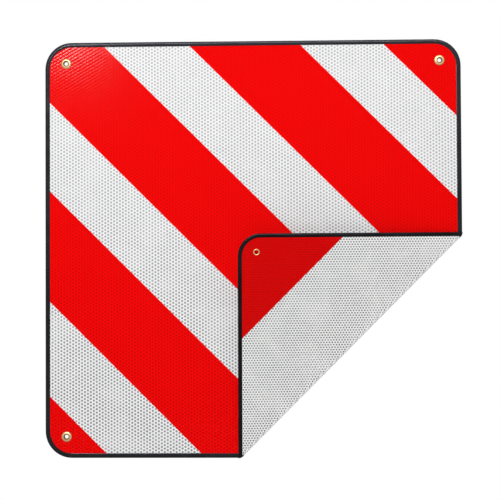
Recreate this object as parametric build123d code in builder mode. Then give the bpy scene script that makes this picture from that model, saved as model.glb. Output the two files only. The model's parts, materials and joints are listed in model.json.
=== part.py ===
# Overhanging load sign: a square reflective panel of flexible sheet with one corner folded over.
#
# Millimetres, +Z up, +X to the right as seen from the front, front towards -Y.
# The origin is midway between the two top eyelets, on the middle plane of the panel's sheet.
# Every layer is drawn in the sheet's own flat coordinates, x to the right, y up and z towards the
# front, with the sign's centre at zero. The flap uses the same coordinates on a folded plane.

import os
from math import sqrt

from build123d import *

os.makedirs("parts", exist_ok=True)

# Outline
sign_size = 500.0  # outer edge to outer edge of the edging
corner_radius = 32.0  # outer radius of the panel's three corners
flap_corner_radius = 27.0  # outer radius of the folded corner

# Sheet, from the middle outwards
core_thickness = 0.8
film_thickness = 0.3
stripe_thickness = 0.1

# Edging, a U-profile that grips the sheet
edging_web = 1.1  # outer edge to the edge of the sheet
edging_wall = 0.8  # thickest part of a leg
edging_lip = 0.35  # thickness at the tip of a leg
edging_front_width = 5.6
edging_back_width = 4.7

# Folded corner
crease_leg = 268.5  # from the sharp corner along the edge to the crease
fold_clearance = 0.4  # between the two legs of edging when the flap is pressed flat
flap_lift = 8.0  # degrees that the flap springs up from flat

# Stripes, measured square to their length
front_stripe_width = 94.3
front_stripe_centres = {"upper": 167.0, "middle": -0.3, "lower": -170.2}
front_top_right_depth = 69.0  # sharp corner to the corner stripe's edge
front_bottom_left_depth = 55.9
back_stripe_width = 174.0  # the band through the sign's centre
back_corner_depth = 91.5  # sharp corner to the edge of each corner stripe

# Eyelets
eyelet_inset = 25.5  # outer edge to the eyelet's axis
flap_eyelet_inset = 22.0
eyelet_bore = 4.6
eyelet_wall = 0.4
eyelet_flange = 12.2  # diameter on the front
eyelet_flange_height = 1.2
eyelet_rim = 7.6  # diameter of the rolled rim on the back
eyelet_rim_height = 0.8
eyelet_edge = 0.2  # height of the flange's and the rim's outer edge
eyelet_clearance = 0.1  # between the barrel and its hole in the sheet

# Worked out from the sizes above
core_top = core_thickness / 2
film_top = core_top + film_thickness
stripe_top = film_top + stripe_thickness
fold_radius = stripe_top + edging_wall + fold_clearance / 2
bend_angle = 180 - flap_lift
half_size = sign_size / 2
half_diagonal = half_size * sqrt(2)
crease_offset = half_size - crease_leg / 2  # sideways and down from the centre to the crease
crease_reach = (half_size - edging_web - crease_offset) * sqrt(2)  # half the sheet's crease
barrel_radius = eyelet_bore / 2 + eyelet_wall
eyelet_place = half_size - eyelet_inset
flap_eyelet_place = half_size - flap_eyelet_inset
beyond = 2 * sign_size  # longer than anything that it cuts

panel_eyelets = {
    "top_left": (-eyelet_place, eyelet_place),
    "top_right": (eyelet_place, eyelet_place),
    "bottom_left": (-eyelet_place, -eyelet_place),
}
flap_eyelet = (flap_eyelet_place, -flap_eyelet_place)

# The panel's plane, the hinge in the crease and the flap's plane
panel = Plane(origin=(0, 0, -eyelet_place), x_dir=(1, 0, 0), z_dir=(0, -1, 0))
hinge = Plane(
    origin=panel.from_local_coords((crease_offset, -crease_offset, fold_radius)),
    x_dir=(1, 0, 1),
    z_dir=(0, -1, 0),
)
fold = hinge.location * Rot(-bend_angle, 0, 0) * hinge.location.inverse()
flap = Plane(fold * panel.location)
crease_axis = Axis(hinge.origin, -hinge.x_dir)  # a turn about it folds the corner forwards


def crease_cut(sheet):
    """The plane across the sheet along the crease, facing the panel's side of it."""
    middle = sheet.from_local_coords((crease_offset, -crease_offset, 0))
    along = sheet.x_dir + sheet.y_dir
    return Plane(origin=middle, x_dir=along, z_dir=sheet.y_dir - sheet.x_dir)


def draw_sheet(sheet):
    """The sheet's outline inside the edging, on the panel's or the flap's side of the crease."""
    side = sign_size - 2 * edging_web
    Rectangle(side, side)
    to_lower_right = Axis((0, 0, 0), (1, -1, 0))
    fillet(vertices().sort_by(to_lower_right)[-1], flap_corner_radius - edging_web)
    fillet(vertices().sort_by(to_lower_right)[:3], corner_radius - edging_web)
    kept_side = Align.MIN if sheet is panel else Align.MAX
    with Locations((crease_offset, -crease_offset)):
        Rectangle(
            beyond, beyond, rotation=45, align=(Align.CENTER, kept_side), mode=Mode.INTERSECT
        )
    with Locations(*panel_eyelets.values(), flap_eyelet):
        Circle(barrel_radius + eyelet_clearance, mode=Mode.SUBTRACT)


def draw_stripe(low, high, rising):
    """Keep what lies between two lines at 45 degrees, low and high from the sign's centre.

    A falling stripe runs down to the right and is measured towards the top right corner, a rising
    one runs up to the right and is measured towards the bottom right corner.
    """
    middle = (low + high) / 2 / sqrt(2)
    with Locations((middle, -middle if rising else middle)):
        Rectangle(beyond, high - low, rotation=45 if rising else -45, mode=Mode.INTERSECT)


def draw_edging_profile():
    """The lines of the U-profile, x inwards from the outer edge and y towards the front."""
    crown = stripe_top + edging_wall
    tip = stripe_top + edging_lip
    shoulder = (edging_web / 2, stripe_top + edging_lip / 2)
    lower_shoulder = (shoulder[0], -shoulder[1])
    ThreePointArc(lower_shoulder, (0, 0), shoulder)
    ThreePointArc(shoulder, (edging_front_width / 2, crown), (edging_front_width, tip))
    Polyline(
        (edging_front_width, tip),
        (edging_front_width, stripe_top),
        (edging_web, stripe_top),
        (edging_web, -stripe_top),
        (edging_back_width, -stripe_top),
        (edging_back_width, -tip),
    )
    ThreePointArc((edging_back_width, -tip), (edging_back_width / 2, -crown), lower_shoulder)


def write(piece, name):
    piece.part.label = name
    export_step(piece.part, f"parts/{name}.step")


def make_layer(name, sheet, low, high, stripe=None):
    """One flat layer between two heights, the whole sheet or a stripe (low, high, rising) of it."""
    with BuildPart() as layer:
        with BuildSketch(sheet.offset(low)):
            draw_sheet(sheet)
            if stripe:
                draw_stripe(*stripe)
        extrude(amount=high - low)
    write(layer, name)


def make_bend(name, start, end, inner, outer):
    """One layer bent round the crease, between two places along it and two radii."""
    with BuildPart() as bend:
        with BuildSketch(Plane(hinge.origin, x_dir=hinge.x_dir, z_dir=crease_cut(panel).z_dir)):
            with Locations(((start + end) / 2, (inner + outer) / 2)):
                Rectangle(end - start, outer - inner)
        revolve(axis=crease_axis, revolution_arc=bend_angle)
    write(bend, name)


def make_edging(name, sheet, corners, radii):
    """The edging along a line through the corners, cut off at the crease."""
    with BuildPart() as edging:
        with BuildLine(sheet) as route:
            FilletPolyline(*corners, radius=radii)
        path = route.wire()
        inwards = sheet.z_dir.cross(path % 0)
        with BuildSketch(Plane(origin=path @ 0, x_dir=inwards, z_dir=path % 0)):
            with BuildLine():
                draw_edging_profile()
            make_face()
        sweep(path=path)
        split(bisect_by=crease_cut(sheet), keep=Keep.TOP if sheet is panel else Keep.BOTTOM)
    write(edging, name)
    return edging


def make_eyelet(name, sheet, place):
    """A brass eyelet: a flange on the front, a barrel through the sheet, a rolled rim behind."""
    bore = eyelet_bore / 2
    flange = eyelet_flange / 2
    rim = eyelet_rim / 2
    flange_crown = (bore + eyelet_flange_height, stripe_top + eyelet_flange_height)
    rim_crown = (bore + eyelet_rim_height, -stripe_top - eyelet_rim_height)
    flange_edge = (flange, stripe_top + eyelet_edge)
    rim_edge = (rim, -stripe_top - eyelet_edge)
    centre = sheet.from_local_coords((*place, 0))
    section = Plane(origin=centre, x_dir=sheet.x_dir, z_dir=-sheet.y_dir)
    with BuildPart() as eyelet:
        with BuildSketch(section):
            with BuildLine():
                Line((bore, -stripe_top), (bore, stripe_top))
                TangentArc((bore, stripe_top), flange_crown, tangent=(0, 1))
                TangentArc(flange_crown, flange_edge, tangent=(1, 0))
                Polyline(
                    flange_edge,
                    (flange, stripe_top),
                    (barrel_radius, stripe_top),
                    (barrel_radius, -stripe_top),
                    (rim, -stripe_top),
                    rim_edge,
                )
                TangentArc(rim_crown, rim_edge, tangent=(1, 0))
                TangentArc((bore, -stripe_top), rim_crown, tangent=(0, -1))
            make_face()
        revolve(axis=Axis(centre, sheet.z_dir))
    write(eyelet, name)


# Core and films of the panel, the crease and the flap
layers = {
    "core": (-core_top, core_top),
    "front_film": (core_top, film_top),
    "back_film": (-film_top, -core_top),
}
for layer_name, (low, high) in layers.items():
    make_layer(f"panel_{layer_name}", panel, low, high)
    make_layer(f"flap_{layer_name}", flap, low, high)
    make_bend(
        f"crease_{layer_name}", -crease_reach, crease_reach, fold_radius - high, fold_radius - low
    )

# Red stripes on the front: three bands that cross the crease and two corners
for band, centre in front_stripe_centres.items():
    low = centre - front_stripe_width / 2
    high = centre + front_stripe_width / 2
    make_layer(f"front_stripe_{band}", panel, film_top, stripe_top, (low, high, False))
    make_layer(f"flap_front_stripe_{band}", flap, film_top, stripe_top, (low, high, False))
    make_bend(
        f"crease_stripe_{band}",
        max(low, -crease_reach),
        min(high, crease_reach),
        fold_radius - stripe_top,
        fold_radius - film_top,
    )
top_right = (half_diagonal - front_top_right_depth, half_diagonal, False)
bottom_left = (-half_diagonal, front_bottom_left_depth - half_diagonal, False)
make_layer("front_stripe_top_right", panel, film_top, stripe_top, top_right)
make_layer("front_stripe_bottom_left", panel, film_top, stripe_top, bottom_left)

# Red stripes on the back: a centre band, the corner behind the front's top left, and the flap's
centre_band = (-back_stripe_width / 2, back_stripe_width / 2, True)
top_left = (-half_diagonal, back_corner_depth - half_diagonal, True)
folded_corner = (half_diagonal - back_corner_depth, half_diagonal, True)
make_layer("back_stripe_centre", panel, -stripe_top, -film_top, centre_band)
make_layer("back_stripe_top_left", panel, -stripe_top, -film_top, top_left)
make_layer("flap_back_stripe", flap, -stripe_top, -film_top, folded_corner)

# Edging, which runs past the crease before it is cut off there, and its two bends
crease_end = half_size - crease_leg  # from (crease_end, -half_size) to (half_size, -crease_end)
past = 2 * edging_front_width
panel_edging = make_edging(
    "panel_edging",
    panel,
    [
        (half_size, -crease_end - past),
        (half_size, half_size),
        (-half_size, half_size),
        (-half_size, -half_size),
        (crease_end + past, -half_size),
    ],
    corner_radius,
)
make_edging(
    "flap_edging",
    flap,
    [
        (crease_end - past, -half_size),
        (half_size, -half_size),
        (half_size, -crease_end + past),
    ],
    flap_corner_radius,
)
crease_ends = panel_edging.faces().filter_by(crease_cut(panel)).sort_by(Axis.Z)
for end_name, end_face in zip(["bottom", "right"], crease_ends):
    with BuildPart() as edging_bend:
        revolve(end_face, axis=crease_axis, revolution_arc=bend_angle)
    write(edging_bend, f"crease_edging_{end_name}")

# Eyelets
for corner, place in panel_eyelets.items():
    make_eyelet(f"eyelet_{corner}", panel, place)
make_eyelet("flap_eyelet", flap, flap_eyelet)
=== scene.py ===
import json
import math
import bmesh
import bpy
from mathutils import Matrix, Vector


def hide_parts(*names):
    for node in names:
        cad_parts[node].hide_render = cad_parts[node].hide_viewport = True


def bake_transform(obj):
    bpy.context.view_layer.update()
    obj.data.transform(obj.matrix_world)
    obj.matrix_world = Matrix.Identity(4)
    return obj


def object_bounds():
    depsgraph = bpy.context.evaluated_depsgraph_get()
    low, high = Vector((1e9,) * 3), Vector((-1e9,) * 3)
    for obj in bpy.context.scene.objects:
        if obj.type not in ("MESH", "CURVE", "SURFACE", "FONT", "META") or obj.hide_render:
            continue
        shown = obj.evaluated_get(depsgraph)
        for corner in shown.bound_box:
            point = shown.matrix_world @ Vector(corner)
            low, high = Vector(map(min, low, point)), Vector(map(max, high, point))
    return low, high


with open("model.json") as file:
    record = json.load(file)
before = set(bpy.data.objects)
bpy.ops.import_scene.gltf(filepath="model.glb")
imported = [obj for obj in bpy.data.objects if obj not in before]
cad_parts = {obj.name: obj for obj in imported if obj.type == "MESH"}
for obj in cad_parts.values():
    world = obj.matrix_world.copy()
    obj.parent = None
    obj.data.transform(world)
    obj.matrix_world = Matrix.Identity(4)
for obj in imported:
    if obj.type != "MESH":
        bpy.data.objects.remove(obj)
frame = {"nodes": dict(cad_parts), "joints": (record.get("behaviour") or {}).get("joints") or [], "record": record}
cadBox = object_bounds()
nodes = frame["nodes"]
mounts = {mount["name"]: mount for mount in frame["record"]["mounts"]}
print("frame loaded:", len(nodes), "pieces")

# the corner's fold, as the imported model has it
fold = frame["joints"][0]
foldPlace = Vector(fold["pos_m"])
foldAxis = Vector(fold["axis"]).normalized()
foldTurn = math.radians(180 + fold["range_deg"][0])  # from the panel round to the flap at rest
toPanel = Vector((0, 1, 0))  # from the fold's axis straight to the panel
toCorner = toPanel.cross(foldAxis)  # along the sheet, from the fold to the corner
creaseMap = "sheetPlace"  # UV map of the bent pieces, in metres on the flat sheet
sheetParts = ("panel", "flap", "crease")


# shader helpers: a value is a number, a colour, a vector or another node's output
def feed(tree, value, socket):
    if isinstance(value, bpy.types.NodeSocket):
        tree.links.new(value, socket)
    else:
        socket.default_value = value


def sums(tree, operation, *values):
    node = tree.nodes.new("ShaderNodeMath")
    node.operation = operation
    for value, socket in zip(values, node.inputs):
        feed(tree, value, socket)
    return node.outputs["Value"]


def arrows(tree, operation, *values):
    node = tree.nodes.new("ShaderNodeVectorMath")
    node.operation = operation
    for value, socket in zip(values, node.inputs):
        feed(tree, value, socket)
    return node.outputs["Value" if operation in ("LENGTH", "DOT_PRODUCT") else "Vector"]


def ease(tree, value, low, high, first=0.0, last=1.0):
    node = tree.nodes.new("ShaderNodeMapRange")
    node.interpolation_type = "SMOOTHSTEP"
    ends = {"Value": value, "From Min": low, "From Max": high, "To Min": first, "To Max": last}
    for label, item in ends.items():
        feed(tree, item, node.inputs[label])
    return node.outputs["Result"]


def mixColours(tree, share, first, second):
    node = tree.nodes.new("ShaderNodeMix")
    node.data_type = "RGBA"
    for value, index in ((share, 0), (first, 6), (second, 7)):  # the sockets that mix colours
        feed(tree, value, node.inputs[index])
    return node.outputs[2]


def cloud(tree, place, size, detail=2.0, stretch=None):
    if stretch:
        place = arrows(tree, "MULTIPLY", place, stretch)
    node = tree.nodes.new("ShaderNodeTexNoise")
    feed(tree, place, node.inputs["Vector"])
    feed(tree, sums(tree, "DIVIDE", 1.0, size), node.inputs["Scale"])
    node.inputs["Detail"].default_value = detail
    return node.outputs["Fac"]


def bumps(tree, height, depth, below=None):
    node = tree.nodes.new("ShaderNodeBump")
    node.inputs["Distance"].default_value = depth
    feed(tree, height, node.inputs["Height"])
    if below:
        tree.links.new(below, node.inputs["Normal"])
    return node.outputs["Normal"]


def startGroup(name, inputs, outputs):
    group = bpy.data.node_groups.new(name, "ShaderNodeTree")
    for label, kind in inputs.items():
        group.interface.new_socket(label, in_out="INPUT", socket_type="NodeSocket" + kind)
    for label in outputs:
        group.interface.new_socket(label, in_out="OUTPUT", socket_type="NodeSocketFloat")
    return group, group.nodes.new("NodeGroupInput").outputs, group.nodes.new("NodeGroupOutput").inputs


def useGroup(tree, group, values):
    node = tree.nodes.new("ShaderNodeGroup")
    node.node_tree = group
    for label, value in values.items():
        feed(tree, value, node.inputs[label])
    return node.outputs


def startMaterial(name, colour, settings):
    material = bpy.data.materials.new(name)
    material.use_nodes = True
    material.diffuse_color = (*colour, 1)
    shader = material.node_tree.nodes["Principled BSDF"]
    for label, value in settings.items():
        shader.inputs[label].default_value = value
    return material, material.node_tree, shader.inputs


# welded dots on a triangular grid, each with a neighbour straight above it
def makeDotGrid():
    group, given, made = startGroup(
        "dotGrid",
        {"Place": "Vector", "Pitch": "Float", "Radius": "Float", "Softness": "Float"},
        ["Dots", "Cushion", "Ridges"],
    )
    cellWidth = math.sqrt(3)  # of a triangular grid, in pitches
    cell = group.nodes.new("ShaderNodeCombineXYZ")
    feed(group, sums(group, "MULTIPLY", given["Pitch"], cellWidth), cell.inputs["X"])
    feed(group, given["Pitch"], cell.inputs["Y"])
    cell.inputs["Z"].default_value = 1
    scaled = arrows(group, "DIVIDE", given["Place"], cell.outputs["Vector"])
    reach = []
    for shift in ((0, 0, 0), (0.5, 0.5, 0)):  # the grid is two square-cornered ones
        inCell = arrows(group, "FRACTION", arrows(group, "ADD", scaled, shift))
        offset = arrows(group, "SUBTRACT", inCell, (0.5, 0.5, 0))
        reach.append(arrows(group, "LENGTH", arrows(group, "MULTIPLY", offset, cell.outputs["Vector"])))
    nearest = sums(group, "MINIMUM", *reach)
    outer = sums(group, "ADD", given["Radius"], given["Softness"])
    inner = sums(group, "SUBTRACT", given["Radius"], given["Softness"])
    feed(group, ease(group, nearest, outer, inner), made["Dots"])
    furthest = sums(group, "DIVIDE", given["Pitch"], cellWidth)  # from any dot
    feed(group, ease(group, nearest, 0.0, furthest), made["Cushion"])
    acrossRows = (-0.5, cellWidth / 2, 0)  # square to the rows that rise to the right
    upRow = arrows(group, "DOT_PRODUCT", given["Place"], acrossRows)
    rowTurn = sums(group, "DIVIDE", upRow, sums(group, "MULTIPLY", given["Pitch"], cellWidth / 2))
    fromMiddle = sums(group, "SUBTRACT", sums(group, "FRACT", rowTurn), 0.5)
    sunk = sums(group, "MULTIPLY", sums(group, "MULTIPLY", fromMiddle, fromMiddle), 4.0)
    feed(group, sums(group, "SUBTRACT", 1.0, sunk), made["Ridges"])  # 1 on a ridge, 0 between two
    return group


unevenLook = {
    "finer": 3.0,  # how many times smaller faint spots are than the broad unevenness
    "faintBetween": (0.42, 0.68),  # noise from which a spot starts, and is full
}


# broad unevenness of a sheet: tone round 1, and where a print or weld is fainter
def makeUnevenness():
    group, given, made = startGroup(
        "unevenness", {"Place": "Vector", "Size": "Float", "Amount": "Float"}, ["Tone", "Faint"]
    )
    broad = cloud(group, given["Place"], given["Size"], detail=3.0)
    centred = sums(group, "SUBTRACT", broad, 0.5)
    feed(group, sums(group, "MULTIPLY_ADD", centred, given["Amount"], 1.0), made["Tone"])
    faintSize = sums(group, "DIVIDE", given["Size"], unevenLook["finer"])
    spots = cloud(group, given["Place"], faintSize)
    feed(group, ease(group, spots, *unevenLook["faintBetween"]), made["Faint"])
    return group


grainLook = {
    "patchSize": 40.0,  # in grains
    "patchBetween": (0.35, 0.7),
    "scratches": ((1.0, 0.04, 0.3), (0.05, 0.9, 0.3)),  # stretch of a set across and of one along
    "scratchBetween": (0.7, 0.78),
}


# moulded or rolled plastic: fine grain, patches of other gloss and thin scratches
def makeGrain():
    group, given, made = startGroup(
        "grain", {"Place": "Vector", "Size": "Float"}, ["Grain", "Patch", "Scratch"]
    )
    feed(group, cloud(group, given["Place"], given["Size"], detail=4.0), made["Grain"])
    patchSize = sums(group, "MULTIPLY", given["Size"], grainLook["patchSize"])
    patches = cloud(group, given["Place"], patchSize, detail=3.0)
    feed(group, ease(group, patches, *grainLook["patchBetween"]), made["Patch"])
    lines = []
    for stretch in grainLook["scratches"]:
        fine = cloud(group, given["Place"], given["Size"], detail=1.0, stretch=stretch)
        lines.append(ease(group, fine, *grainLook["scratchBetween"]))
    feed(group, sums(group, "MAXIMUM", *lines), made["Scratch"])
    return group


ringLook = {
    "size": 0.0002,
    "boreShadeReach": 1.13,  # how far out the painted shade of the bore reaches, in funnel radii
    "rimDarkStart": 0.86,  # from where the darker rim starts, in rim radii
    "rimShare": 0.8,  # of the painted shade at the bore
    "mottleSize": 0.0016,
    "mottleBetween": (0.3, 0.7),
    "mottleShares": (0.7, 1.0),
}


# turned metal round an axis: rings, and darkening at both edges of a flange: painted shade inside the bore, and a
# darker rim
def makeSpunRings():
    group, given, made = startGroup(
        "spunRings",
        {"Place": "Vector", "Centre": "Vector", "Axis": "Vector", "Funnel": "Float", "Rim": "Float"},
        ["Rings", "DarkEdges"],
    )
    offset = arrows(group, "SUBTRACT", given["Place"], given["Centre"])
    along = arrows(group, "DOT_PRODUCT", offset, given["Axis"])
    lengthwise = group.nodes.new("ShaderNodeVectorMath")
    lengthwise.operation = "SCALE"
    feed(group, given["Axis"], lengthwise.inputs[0])
    feed(group, along, lengthwise.inputs["Scale"])
    outward = arrows(group, "LENGTH", arrows(group, "SUBTRACT", offset, lengthwise.outputs["Vector"]))
    ringPlace = group.nodes.new("ShaderNodeCombineXYZ")
    feed(group, outward, ringPlace.inputs["X"])
    feed(group, along, ringPlace.inputs["Y"])
    feed(group, cloud(group, ringPlace.outputs["Vector"], ringLook["size"]), made["Rings"])
    boreReach = sums(group, "MULTIPLY", given["Funnel"], ringLook["boreShadeReach"])
    nearBore = ease(group, outward, boreReach, given["Funnel"])
    rimReach = sums(group, "MULTIPLY", given["Rim"], ringLook["rimDarkStart"])
    nearRim = ease(group, outward, rimReach, given["Rim"])
    edges = sums(group, "MAXIMUM", nearBore, sums(group, "MULTIPLY", nearRim, ringLook["rimShare"]))
    mottle = cloud(group, given["Place"], ringLook["mottleSize"], detail=3.0)
    mottled = ease(group, mottle, *ringLook["mottleBetween"], *ringLook["mottleShares"])
    feed(group, sums(group, "MULTIPLY", edges, mottled), made["DarkEdges"])
    return group


dotGrid = makeDotGrid()
unevenness = makeUnevenness()
grain = makeGrain()
spunRings = makeSpunRings()
print("finishes: shared effects ready")


# a point's place with the corner unfolded, in metres
def unfolded(tree, where):
    place = tree.nodes.new("ShaderNodeTexCoord").outputs["Object"]
    if where == "flap":
        unfold = tree.nodes.new("ShaderNodeVectorRotate")
        unfold.inputs["Center"].default_value = foldPlace
        unfold.inputs["Axis"].default_value = foldAxis
        unfold.inputs["Angle"].default_value = foldTurn
        tree.links.new(place, unfold.inputs["Vector"])
        place = unfold.outputs["Vector"]
    apart = tree.nodes.new("ShaderNodeSeparateXYZ")
    tree.links.new(place, apart.inputs["Vector"])
    return apart.outputs


# a point's place on the flat sheet, x to the right and y up
def sheetPlace(tree, where):
    if where == "crease":
        laidFlat = tree.nodes.new("ShaderNodeUVMap")
        laidFlat.uv_map = creaseMap
        return laidFlat.outputs["UV"]
    spot = unfolded(tree, where)
    flat = tree.nodes.new("ShaderNodeCombineXYZ")
    tree.links.new(spot["X"], flat.inputs["X"])
    tree.links.new(spot["Z"], flat.inputs["Y"])
    return flat.outputs["Vector"]


sheetMiddle = (-0.0003, 0.0003)  # depths in the sheet where its front ends and its back starts


# 0 on the front of the sheet and 1 on its back, which is the outside of the crease
def atBack(tree, where):
    if where == "crease":
        return 1.0
    return ease(tree, unfolded(tree, where)["Y"], *sheetMiddle)


filmLook = {
    "front": {
        "pitch": 0.0041, "radius": 0.0013, "softness": 0.0006, "cushion": 0.00002, "ridge": 0.000031,
        # each colour's last pair is a dot's strength low down and at the top: painted sheen that washes the dots
        # out towards the top
        "white": {"plain": (0.95, 0.95, 0.955), "dot": (0.26, 0.26, 0.27), "pressed": (1.0, 0.6)},
        "red": {"plain": (0.93, 0.0008, 0.0008), "dot": (0.67, 0.0006, 0.0006), "pressed": (1.0, 0.4)},
    },
    "back": {
        "pitch": 0.00337, "radius": 0.00107, "softness": 0.0005, "cushion": 0.00002, "ridge": 0.00002,
        # each colour's last pair is a dot's strength low down and at the top: painted sheen that washes the dots
        # out towards the top
        "white": {"plain": (0.96, 0.96, 0.96), "dot": (0.2, 0.2, 0.2), "pressed": (1.0, 0.85)},
        # the back's red is darker than the front's red: painted shade on the flap
        "red": {"plain": (0.72, 0.0008, 0.0008), "dot": (0.52, 0.0006, 0.0006), "pressed": (1.0, 0.9)},
    },
    "settings": {"Specular IOR Level": 0.045},
    "roughness": 0.12,
    "dulled": {"patch": 0.02, "scratch": 0.05, "dot": 0.03},  # roughness that each adds
    "unevenSize": 0.11,
    "unevenAmount": 0.05,
    "faintest": 0.14,  # share of its strength that a faint dot loses
    "creased": 0.6,  # share of their strength that the dots keep where the sheet is bent
    "sheenFadeHeights": (-0.45, 0.0),  # the two heights between which the dots fade towards the top, as painted sheen
    "grainSize": 0.0005,
    "grainDepth": 0.000003,
}


def filmMaterial(side, colour, where):
    look = filmLook[side]
    paint = look[colour]
    name = f"{side}_{colour}_film_{where}"
    material, tree, shader = startMaterial(name, paint["plain"], filmLook["settings"])
    place = sheetPlace(tree, where)
    dots = useGroup(tree, dotGrid, {
        "Place": place, "Pitch": look["pitch"], "Radius": look["radius"], "Softness": look["softness"],
    })
    uneven = useGroup(tree, unevenness, {
        "Place": place, "Size": filmLook["unevenSize"], "Amount": filmLook["unevenAmount"],
    })
    fine = useGroup(tree, grain, {"Place": place, "Size": filmLook["grainSize"]})
    apart = tree.nodes.new("ShaderNodeSeparateXYZ")
    tree.links.new(place, apart.inputs["Vector"])
    # painted sheen: the dots fade towards the top of the sheet
    pressed = ease(tree, apart.outputs["Y"], *filmLook["sheenFadeHeights"], *paint["pressed"])
    kept = ease(tree, uneven["Faint"], 0.0, 1.0, 1.0, 1 - filmLook["faintest"])
    strength = sums(tree, "MULTIPLY", dots["Dots"], sums(tree, "MULTIPLY", kept, pressed))
    if where == "crease":
        strength = sums(tree, "MULTIPLY", strength, filmLook["creased"])
    dotted = mixColours(tree, strength, (*paint["plain"], 1), (*paint["dot"], 1))
    toned = arrows(tree, "MULTIPLY", dotted, uneven["Tone"])
    feed(tree, toned, shader["Base Color"])
    dulled = filmLook["dulled"]
    dull = sums(tree, "MULTIPLY_ADD", fine["Patch"], dulled["patch"], filmLook["roughness"])
    scraped = sums(tree, "MULTIPLY_ADD", fine["Scratch"], dulled["scratch"], dull)
    feed(tree, sums(tree, "MULTIPLY_ADD", strength, dulled["dot"], scraped), shader["Roughness"])
    quilted = bumps(tree, dots["Cushion"], look["cushion"])
    ridged = bumps(tree, dots["Ridges"], look["ridge"], quilted)
    feed(tree, bumps(tree, fine["Grain"], filmLook["grainDepth"], ridged), shader["Normal"])
    return material


coreLook = {
    "plain": (0.74, 0.74, 0.72),
    "thread": (0.66, 0.66, 0.64),
    "roughness": 0.45,
    "grainRoughness": 0.2,  # what the grain adds
    "grainSize": 0.0006,
    "threadPitch": 0.0012,
    "threadDepth": 0.00002,
    "waveLength": 0.3,  # about that of the wave texture at a scale of 1
    "settings": {"Specular IOR Level": 0.3},
}


# soft plastic sheet with the ribs of the cloth inside it just showing
def coreMaterial(where):
    material, tree, shader = startMaterial(f"core_sheet_{where}", coreLook["plain"], coreLook["settings"])
    place = sheetPlace(tree, where)
    fine = useGroup(tree, grain, {"Place": place, "Size": coreLook["grainSize"]})
    ribs = []
    for angle in (0, math.pi / 2):
        wave = tree.nodes.new("ShaderNodeTexWave")
        wave.inputs["Scale"].default_value = coreLook["waveLength"] / coreLook["threadPitch"]
        turned = tree.nodes.new("ShaderNodeVectorRotate")
        turned.rotation_type = "Z_AXIS"
        turned.inputs["Angle"].default_value = angle
        tree.links.new(place, turned.inputs["Vector"])
        tree.links.new(turned.outputs["Vector"], wave.inputs["Vector"])
        ribs.append(wave.outputs["Fac"])
    cloth = sums(tree, "MAXIMUM", *ribs)
    share = sums(tree, "MULTIPLY", cloth, fine["Patch"])
    ribbed = mixColours(tree, share, (*coreLook["plain"], 1), (*coreLook["thread"], 1))
    feed(tree, ribbed, shader["Base Color"])
    rough = sums(tree, "MULTIPLY_ADD", fine["Grain"], coreLook["grainRoughness"], coreLook["roughness"])
    feed(tree, rough, shader["Roughness"])
    feed(tree, bumps(tree, cloth, coreLook["threadDepth"]), shader["Normal"])
    return material


edgingLook = {
    "front": ((0.006, 0.006, 0.007), (0.016, 0.016, 0.02)),  # darker low down and lighter at the top: painted light from above
    # the back is darker than the front: painted shade on the flap's edging
    "back": ((0.003, 0.003, 0.0036), (0.008, 0.008, 0.01)),
    "paintedTopLight": (-0.33, 0.03),  # painted light from above grows between these two heights
    "worn": (0.1, 0.1, 0.11),
    "wornShare": {"patch": 0.05, "scratch": 0.15},
    "roughness": 0.16,
    "patchRoughness": 0.1,  # what a patch adds
    "grainSize": 0.0007,
    "grainDepth": 0.00001,
    "shine": {"panel": 0.15, "flap": 0.07, "crease": 0.1},  # the corner is rubbed dull by folding
    "tint": (0.86, 0.88, 1.0, 1.0),
}


def edgingMaterial(where):
    name = f"black_edging_{where}"
    settings = {"Specular IOR Level": edgingLook["shine"][where], "Specular Tint": edgingLook["tint"]}
    material, tree, shader = startMaterial(name, edgingLook["front"][0], settings)
    place = tree.nodes.new("ShaderNodeTexCoord").outputs["Object"]
    fine = useGroup(tree, grain, {"Place": place, "Size": edgingLook["grainSize"]})
    # painted light: the edging gets lighter towards the top, as if lit from above
    paintedTopLight = ease(tree, unfolded(tree, where)["Z"], *edgingLook["paintedTopLight"])
    tones = []
    for label in ("front", "back"):
        tones.append(mixColours(tree, paintedTopLight, *((*colour, 1) for colour in edgingLook[label])))
    tone = mixColours(tree, atBack(tree, where), *tones)
    scuffed = sums(tree, "MULTIPLY", fine["Patch"], edgingLook["wornShare"]["patch"])
    scratched = sums(tree, "MULTIPLY", fine["Scratch"], edgingLook["wornShare"]["scratch"])
    worn = sums(tree, "MAXIMUM", scuffed, scratched)
    feed(tree, mixColours(tree, worn, tone, (*edgingLook["worn"], 1)), shader["Base Color"])
    rough = sums(tree, "MULTIPLY_ADD", fine["Patch"], edgingLook["patchRoughness"], edgingLook["roughness"])
    feed(tree, rough, shader["Roughness"])
    feed(tree, bumps(tree, fine["Grain"], edgingLook["grainDepth"]), shader["Normal"])
    return material


brassLook = {
    "bright": (0.6, 0.385, 0.19),
    # the dull colour is that of the painted shade inside the bore and of the darker rim
    "dull": (0.05, 0.034, 0.012),
    "ringDepth": 0.000006,
    "edgeDarkness": 0.95,
    "darkEdgeBetween": (0.3, 1.0),  # darkening at which the metal's own gloss starts to go, and is least
    "metallic": (1.0, 0.2),
    "roughness": 0.34,
    "ringRoughness": 0.1,  # what a ring adds
    "darkEdgeRoughness": 0.35,  # and what the darkening adds
    "funnel": (0.0035, 0.0024),  # how far the painted shade inside reaches, on the front and on the back
    "rim": (0.0061, 0.0041),  # and the outer edge there
    "settings": {"Specular IOR Level": 0.3},
}


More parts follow.
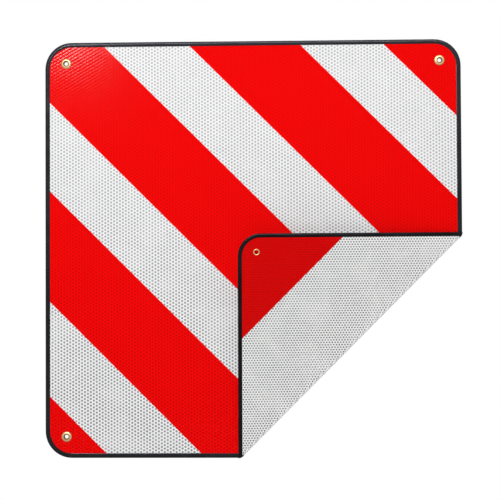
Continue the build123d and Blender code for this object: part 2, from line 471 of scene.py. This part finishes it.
def brassMaterial(eyelet, mount, where):
    material, tree, shader = startMaterial(f"brass_{eyelet}", brassLook["bright"], brassLook["settings"])
    place = tree.nodes.new("ShaderNodeTexCoord").outputs["Object"]
    behind = atBack(tree, where)
    turned = useGroup(tree, spunRings, {
        "Place": place,
        "Centre": mount["pos_m"],
        "Axis": mount["axis"],
        "Funnel": ease(tree, behind, 0.0, 1.0, *brassLook["funnel"]),
        "Rim": ease(tree, behind, 0.0, 1.0, *brassLook["rim"]),
    })
    # painted shade inside the bore, and a darker rim
    dull = sums(tree, "MULTIPLY", turned["DarkEdges"], brassLook["edgeDarkness"])
    colour = mixColours(tree, dull, (*brassLook["bright"], 1), (*brassLook["dull"], 1))
    feed(tree, colour, shader["Base Color"])
    bare = ease(tree, turned["DarkEdges"], *brassLook["darkEdgeBetween"], *brassLook["metallic"])
    feed(tree, bare, shader["Metallic"])
    polished = sums(
        tree, "MULTIPLY_ADD", turned["Rings"], brassLook["ringRoughness"], brassLook["roughness"]
    )
    rough = sums(tree, "MULTIPLY_ADD", turned["DarkEdges"], brassLook["darkEdgeRoughness"], polished)
    feed(tree, rough, shader["Roughness"])
    feed(tree, bumps(tree, turned["Rings"], brassLook["ringDepth"]), shader["Normal"])
    return material


def dress(piece, material):
    piece.data.materials.clear()
    piece.data.materials.append(material)


films = {}
cores = {where: coreMaterial(where) for where in sheetParts}
for side in ("front", "back"):
    for colour in ("white", "red"):
        for where in sheetParts:
            films[side, colour, where] = filmMaterial(side, colour, where)
edgings = {where: edgingMaterial(where) for where in sheetParts}

for name, node in nodes.items():
    if name.startswith("crease"):
        continue
    where = "flap" if name.startswith("flap") else "panel"
    side = "back" if "back" in name else "front"
    if "eyelet" in name:
        dress(node, brassMaterial(name, mounts[name], where))
    elif "edging" in name:
        dress(node, edgings[where])
    elif "core" in name:
        dress(node, cores[where])
    else:
        dress(node, films[side, "red" if "stripe" in name else "white", where])
print("finishes: panel, flap, edging and eyelets dressed")


creaseLook = {
    "turns": 28,  # steps round the bend
    "step": 0.003,  # along the bend
    "sunk": 0.08,  # share of the radius by which the bend sinks in, here and there
    "pressed": 0.6,  # share of the edging's outer wall that the fold squeezes away
    "drawn": 0.0034,  # how far the ends of the bend draw in
    "drawnNearEnd": 40,  # the higher this power, the nearer to the ends they do so
    "waves": ((61.0, 0.4), (143.0, 1.9), (317.0, 0.8)),  # turns per metre and where each starts
    "sharp": 40,  # degrees from which an edge isn't smoothed
    "weld": 1e-7,  # points nearer than this are one
    "onCut": 1e-6,  # how near to the cut a face on it lies
}


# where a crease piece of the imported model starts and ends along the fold, and its radii
def creaseSpan(node):
    along = []
    radii = []
    for vertex in nodes[node].data.vertices:
        offset = vertex.co - foldPlace
        along.append(offset.dot(foldAxis))
        radii.append((offset - foldAxis * along[-1]).length)
    return min(along), max(along), min(radii), max(radii)


# the cut end of a crease piece, next to the panel, as (along, radius) round its outline
def creaseCut(node):
    shell = bmesh.new()
    shell.from_mesh(nodes[node].data)
    bmesh.ops.remove_doubles(shell, verts=shell.verts, dist=creaseLook["weld"])
    cut = set()
    for face in shell.faces:
        offsets = [v.co - foldPlace for v in face.verts]
        level = all(abs(offset.dot(toCorner)) < creaseLook["onCut"] for offset in offsets)
        if level and all(offset.dot(toPanel) > 0 for offset in offsets):
            cut.add(face)
    rim = [edge for edge in shell.edges if sum(face in cut for face in edge.link_faces) == 1]
    outline = [rim[0].verts[0]]
    while rim:
        edge = next(e for e in rim if outline[-1] in e.verts)
        rim.remove(edge)
        outline.append(edge.other_vert(outline[-1]))
    places = [v.co - foldPlace for v in outline[:-1]]
    shell.free()
    return [(place.dot(foldAxis), place.dot(toPanel)) for place in places]


creaseEnd = creaseSpan("crease_edging_right")[1]
sheetOutside = creaseSpan("crease_back_film")[3]  # radius of the sheet's back in the bend


# a layer's section along the whole crease, as (along, radius): out on its inside, back on its outside
def layerOutline(node):
    start, end, inner, outer = creaseSpan(node)
    count = max(2, round((end - start) / creaseLook["step"]))
    runs = [start + (end - start) * i / count for i in range(count + 1)]
    return [(along, inner) for along in runs] + [(along, outer) for along in reversed(runs)]


# where a point of the bend comes to lie, along the fold and from its axis
def bentPlace(along, r, turn):
    middle = math.sin(turn * math.pi / foldTurn)  # 0 where the bend meets panel and flap
    inwards = creaseLook["drawn"] * abs(along / creaseEnd) ** creaseLook["drawnNearEnd"] * middle
    proud = max(0, r - sheetOutside)
    wave = sum(math.sin(2 * math.pi * (rate * along) + start) for rate, start in creaseLook["waves"])
    sunk = creaseLook["sunk"] * (1 - wave / len(creaseLook["waves"])) / 2 * middle ** 2
    pressedRadius = r - creaseLook["pressed"] * proud * middle ** 2
    return along - math.copysign(inwards, along), pressedRadius * (1 - sunk)


# the faces that close an end: a layer's near and far points in pairs, or one face for any other outline
def endFaces(ring, layered):
    if not layered:
        return [ring]
    return [(ring[i], ring[i + 1], ring[-2 - i], ring[-1 - i]) for i in range(len(ring) // 2 - 1)]


# an outline swept round the fold, from the panel's side to the flap's
def makeBend(node, material):
    layered = "edging" not in node
    outline = layerOutline(node) if layered else creaseCut(node)
    radius = sum(r for along, r in outline) / len(outline)
    shell = bmesh.new()
    uv = shell.loops.layers.uv.new(creaseMap)
    spot = {}
    rings = []
    for i in range(creaseLook["turns"] + 1):
        turn = foldTurn * i / creaseLook["turns"]
        outwards = Matrix.Rotation(-turn, 3, foldAxis) @ toPanel
        ring = []
        for along, r in outline:
            drawnAlong, bentRadius = bentPlace(along, r, turn)
            vertex = shell.verts.new(foldPlace + foldAxis * drawnAlong + outwards * bentRadius)
            flat = foldPlace + foldAxis * along + toCorner * radius * turn
            spot[vertex] = (flat.x, flat.z)
            ring.append(vertex)
        rings.append(ring)
    for ring, after in zip(rings, rings[1:]):
        for i in range(len(outline)):
            shell.faces.new((ring[i - 1], ring[i], after[i], after[i - 1]))
    for end in (rings[0], list(reversed(rings[-1]))):
        for face in endFaces(end, layered):
            shell.faces.new(face)
    bmesh.ops.recalc_face_normals(shell, faces=shell.faces)
    for face in shell.faces:
        face.smooth = True
        for loop in face.loops:
            loop[uv].uv = spot[loop.vert]
    mesh = bpy.data.meshes.new(f"bent_{node}")
    shell.to_mesh(mesh)
    shell.free()
    mesh.set_sharp_from_angle(angle=math.radians(creaseLook["sharp"]))
    piece = bpy.data.objects.new(f"bent_{node}", mesh)
    bpy.context.collection.objects.link(piece)
    mesh.materials.append(material)
    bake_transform(piece)
    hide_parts(node)


for name in [node for node in nodes if node.startswith("crease")]:
    if "edging" in name:
        makeBend(name, edgings["crease"])
    elif "core" in name:
        makeBend(name, cores["crease"])
    elif "stripe" in name:
        makeBend(name, films["front", "red", "crease"])
    else:
        side = "back" if "back" in name else "front"
        makeBend(name, films[side, "white", "crease"])
print("crease: bends made")


stageLook = {
    "drop": 0.36,  # from the sign's lower edge to the floor
    "reach": 9.0,
    "colour": (0.86, 0.86, 0.86),
    "settings": {"Roughness": 0.9, "Specular IOR Level": 0.1},
    "white": (0.35, 1.0),  # share of plain white under the sign and away from it
    "fade": (0.5, 1.3),  # how far from the sign that share changes
}


# 1 for what the camera sees straight, mirrored or through a piece, and 0 for light on the sign
def seenRays(tree):
    path = tree.nodes.new("ShaderNodeLightPath")
    straight = sums(tree, "MAXIMUM", path.outputs["Is Camera Ray"], path.outputs["Is Glossy Ray"])
    return sums(tree, "MAXIMUM", straight, path.outputs["Is Transmission Ray"])


def makeFloor():
    material, tree, shader = startMaterial("floor", stageLook["colour"], stageLook["settings"])
    feed(tree, (*stageLook["colour"], 1), shader["Base Color"])
    away = arrows(tree, "LENGTH", tree.nodes.new("ShaderNodeTexCoord").outputs["Object"])
    share = ease(tree, away, *stageLook["fade"], *stageLook["white"])
    white = tree.nodes.new("ShaderNodeEmission")
    mix = tree.nodes.new("ShaderNodeMixShader")
    feed(tree, sums(tree, "MULTIPLY", share, seenRays(tree)), mix.inputs["Fac"])
    tree.links.new(tree.nodes["Principled BSDF"].outputs["BSDF"], mix.inputs[1])
    tree.links.new(white.outputs["Emission"], mix.inputs[2])
    tree.links.new(mix.outputs["Shader"], tree.nodes["Material Output"].inputs["Surface"])
    mesh = bpy.data.meshes.new("floor")
    side = stageLook["reach"]
    corners = [(-side, -side, 0), (side, -side, 0), (side, side, 0), (-side, side, 0)]
    mesh.from_pydata(corners, [], [(0, 1, 2, 3)])
    mesh.materials.append(material)
    floor = bpy.data.objects.new("floor", mesh)
    floor.location.z = cadBox[0].z - stageLook["drop"]
    bpy.context.collection.objects.link(floor)


worldLook = {"light": (1.0, 1.0, 1.0), "strength": 0.14}


def makeWorld():
    world = bpy.data.worlds.new("studio")
    world.use_nodes = True
    tree = world.node_tree
    light = tree.nodes["Background"]
    light.inputs["Color"].default_value = (*worldLook["light"], 1)
    light.inputs["Strength"].default_value = worldLook["strength"]
    white = tree.nodes.new("ShaderNodeBackground")
    white.inputs["Color"].default_value = (1, 1, 1, 1)
    mix = tree.nodes.new("ShaderNodeMixShader")
    feed(tree, seenRays(tree), mix.inputs["Fac"])
    tree.links.new(light.outputs["Background"], mix.inputs[1])
    tree.links.new(white.outputs["Background"], mix.inputs[2])
    tree.links.new(mix.outputs["Shader"], tree.nodes["World Output"].inputs["Surface"])
    bpy.context.scene.world = world


# a lamp with shine False isn't mirrored by the sign, and one with matt False is only mirrored
lampLook = {
    "corner": {"place": (-0.558, -1.6, 0.45), "size": (0.1, 0.07), "watts": 8.7},
    "overhead": {"place": (0.05, -2.2, 1.5), "size": (0.5, 0.4), "watts": 37.0, "shine": False},
    "behind": {"place": (0.4, 1.6, 1.2), "size": (1.2, 1.2), "watts": 38.0},
    "strip": {"place": (-0.05, -1.6, 1.0), "size": (1.3, 0.12), "watts": 32.0, "matt": False},
}


def makeLamp(name, look):
    lamp = bpy.data.lights.new(name, "AREA")
    lamp.shape = "RECTANGLE"
    lamp.size, lamp.size_y = look["size"]
    lamp.energy = look["watts"]
    thing = bpy.data.objects.new(name, lamp)
    thing.location = look["place"]
    aim = (cadBox[0] + cadBox[1]) / 2 - thing.location
    thing.rotation_euler = aim.to_track_quat("-Z", "Y").to_euler()
    thing.visible_camera = False
    thing.visible_diffuse = look.get("matt", True)
    thing.visible_glossy = look.get("shine", True)
    bpy.context.collection.objects.link(thing)


cameraLook = {
    "lens": 85.16,
    "sensor": 36.0,
    "place": (0.03754, -1.41752, -0.25955),
    "turn": (1.6564, 1.3471, 0.28),  # degrees to the left, upwards and about the line of sight
}


def makeCamera():
    data = bpy.data.cameras.new("camera")
    data.lens = cameraLook["lens"]
    data.sensor_width = cameraLook["sensor"]
    left, up, roll = (math.radians(angle) for angle in cameraLook["turn"])
    turn = Matrix.Rotation(left, 4, "Z") @ Matrix.Rotation(up, 4, "X") @ Matrix.Rotation(roll, 4, "Y")
    camera = bpy.data.objects.new("camera", data)
    level = Matrix.Rotation(math.pi / 2, 4, "X")
    camera.matrix_world = Matrix.Translation(cameraLook["place"]) @ turn @ level
    bpy.context.collection.objects.link(camera)
    bpy.context.scene.camera = camera


makeFloor()
makeWorld()
for lampName, look in lampLook.items():
    makeLamp(lampName, look)
makeCamera()
bpy.context.scene.view_settings.view_transform = "Standard"
print("studio: floor, lamps and camera set")
